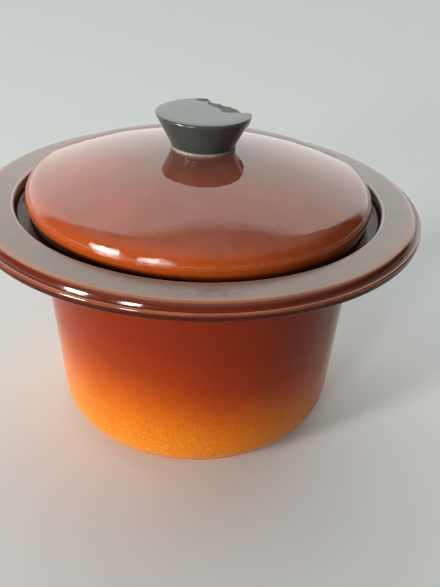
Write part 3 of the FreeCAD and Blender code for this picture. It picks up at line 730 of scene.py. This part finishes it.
def breakEdge(knob, footHeight):
    # Lowers the top of the knob where its edge is broken off: a small step and then a slope, both measured
    # outwards from a straight line, kept between a second line in front and an angle at the back. Lumps are
    # sums of sines. Past that angle a shallow trough leaves a lip standing along the edge.
    b = knobBreak
    place = np.zeros(len(knob.data.vertices) * 3)
    knob.data.vertices.foreach_get("co", place)
    place = place.reshape(-1, 3)
    x, y, z = place.T / mm
    up = z - footHeight / mm
    r, a = np.hypot(x, y), np.degrees(np.arctan2(y, x))
    lump = np.sin(0.9 * x + 0.35 * y) + np.sin(0.8 * y - 0.6 * x + 2) + 0.5 * np.sin(1.7 * x + 1.4 * y + 1)
    away = beyond(x, y, b["inner"], b["innerHeading"]) + 0.45 * lump + 0.8 * np.sin(0.5 * y + 1)
    behind = beyond(x, y, b["front"], b["frontHeading"]) + 0.5 * lump
    inside = smooth(behind, 0, 3.5) * smooth(b["end"] - a - 0.5 * lump, 0, 5) * (a > -30)
    fall = b["step"] * smooth(away, 0, 1.4) + b["slope"] * np.clip(away, 0, None)
    fall = (fall + b["lump"] * lump * smooth(away, 0, 3)) * inside
    lip = smooth(a, b["end"] - 2, b["end"] + 1) * smooth(b["lipEnd"] - a, 0, 14)
    fall = fall + b["trough"] * lip * smooth(r, 18, 24.5) * smooth(-r, -28.6, -26.2)
    fall = np.clip(fall, 0, None) * smooth(up, 5, 15) * (r < knobShape["radius"] + 1)
    place[:, 2] -= fall * mm
    knob.data.vertices.foreach_set("co", place.ravel())
    knob.data.update()


def beyond(x, y, point, heading):
    # Distance from the line through a point, counted positive towards a heading in degrees.
    a = math.radians(heading)
    return (x - point[0]) * math.cos(a) + (y - point[1]) * math.sin(a)


def knobPlastic(footHeight):
    # Black moulded plastic, painted paler and dulled and scratched on top, charred brown where the edge is
    # broken off.
    material, g = newMaterial("knobPlastic")
    look = knobLook
    x, y, z = g.axes()
    r = (x * x + y * y) ** 0.5
    up = z - footHeight
    top = g.step(up, *look["topZone"]) * g.step(r, *look["topEdge"])
    cloud = g.noise(*look["cloudNoise"])
    fine = g.noise(*look["fineNoise"])
    rub = g.step(g.noise(1.0, 3, 0.6, g.place(look["rubStretch"])), *look["rubLevel"])
    side = g.mix(cloud, look["side"], look["sidePale"])
    # the top is painted paler than the side
    paleTop = g.mix(cloud, look["top"], look["topPale"])
    paleTop = g.mix(rub * look["rubAmount"], paleTop, look["rubbed"])
    colour = g.mix(top, side, paleTop)
    # the break starts at the line that breakEdge uses and lies below the flat of the top
    lineX, lineY = knobBreak["inner"]
    away = beyond(x, y, (lineX * mm, lineY * mm), knobBreak["innerHeading"])
    broken = g.step(away + (cloud - 0.5) * look["charWander"], *look["charStart"])
    broken = broken * g.step(y, *look["charFront"])
    broken = broken * g.step(up, *look["charZone"]) * g.fade(up, *look["charTop"])
    char = g.mix(g.step(fine, *look["charLevel"]), look["char"], look["charPale"])
    soot = g.dots(*look["sootDots"])
    colour = g.mix(broken, colour, g.mix(soot, char, look["soot"]))
    roughness = look["roughness"] + top * look["topRough"] + broken * look["breakRough"]
    roughness = roughness + (fine - 0.5) * look["fineRough"]
    relief = fine * look["fineRise"] + cloud * look["cloudRise"]
    relief = relief + broken * fine * look["breakRise"]
    g.finish(colour, roughness, relief, {"IOR": look["ior"]})
    return material


makeKnob()


fittingLook = {                     # noises as scale, detail, roughness, and their relief in metres
    "stainNoise": (500, 4, 0.6), "stainLevel": (0.4, 0.75), "stainRough": 0.2,
    "lineNoise": (4000, 2, 0.5), "lineDepth": 6e-6,
    "patchNoise": (400, 4, 0.6), "grainNoise": (3000, 2), "grainDepth": 3e-5,
}


def metal(name, base, dull, roughness):
    # Bare metal with dull stains and fine lines.
    material, g = newMaterial(name)
    look = fittingLook
    stain = g.step(g.noise(*look["stainNoise"]), *look["stainLevel"])
    relief = g.noise(*look["lineNoise"]) * look["lineDepth"]
    roughness = roughness + stain * look["stainRough"]
    g.finish(g.mix(stain, base, dull), roughness, relief, {"Metallic": 1.0})
    return material


def softRing(name, base, worn, roughness):
    # Rubber or pressed fibre, paler or darker in patches.
    material, g = newMaterial(name)
    look = fittingLook
    colour = g.twoTone(look["patchNoise"], base, worn, 0.4)
    g.finish(colour, roughness, g.noise(*look["grainNoise"]) * look["grainDepth"])
    return material


fittings = {
    "knob_insert": metal("insertBrass", (0.72, 0.52, 0.24), (0.42, 0.28, 0.12), 0.3),
    "knob_screw": metal("screwSteel", (0.60, 0.58, 0.55), (0.32, 0.28, 0.24), 0.3),
    "lid_washer": metal("washerSteel", (0.62, 0.61, 0.60), (0.36, 0.33, 0.30), 0.35),
    "lid_gasket": softRing("gasketRubber", (0.035, 0.032, 0.030), (0.07, 0.065, 0.06), 0.7),
    "knob_washer": softRing("ringFibre", (0.34, 0.30, 0.24), (0.20, 0.17, 0.13), 0.5),
}
for nodeName, material in fittings.items():
    paint(nodes[nodeName], material)
print("fittings dressed")
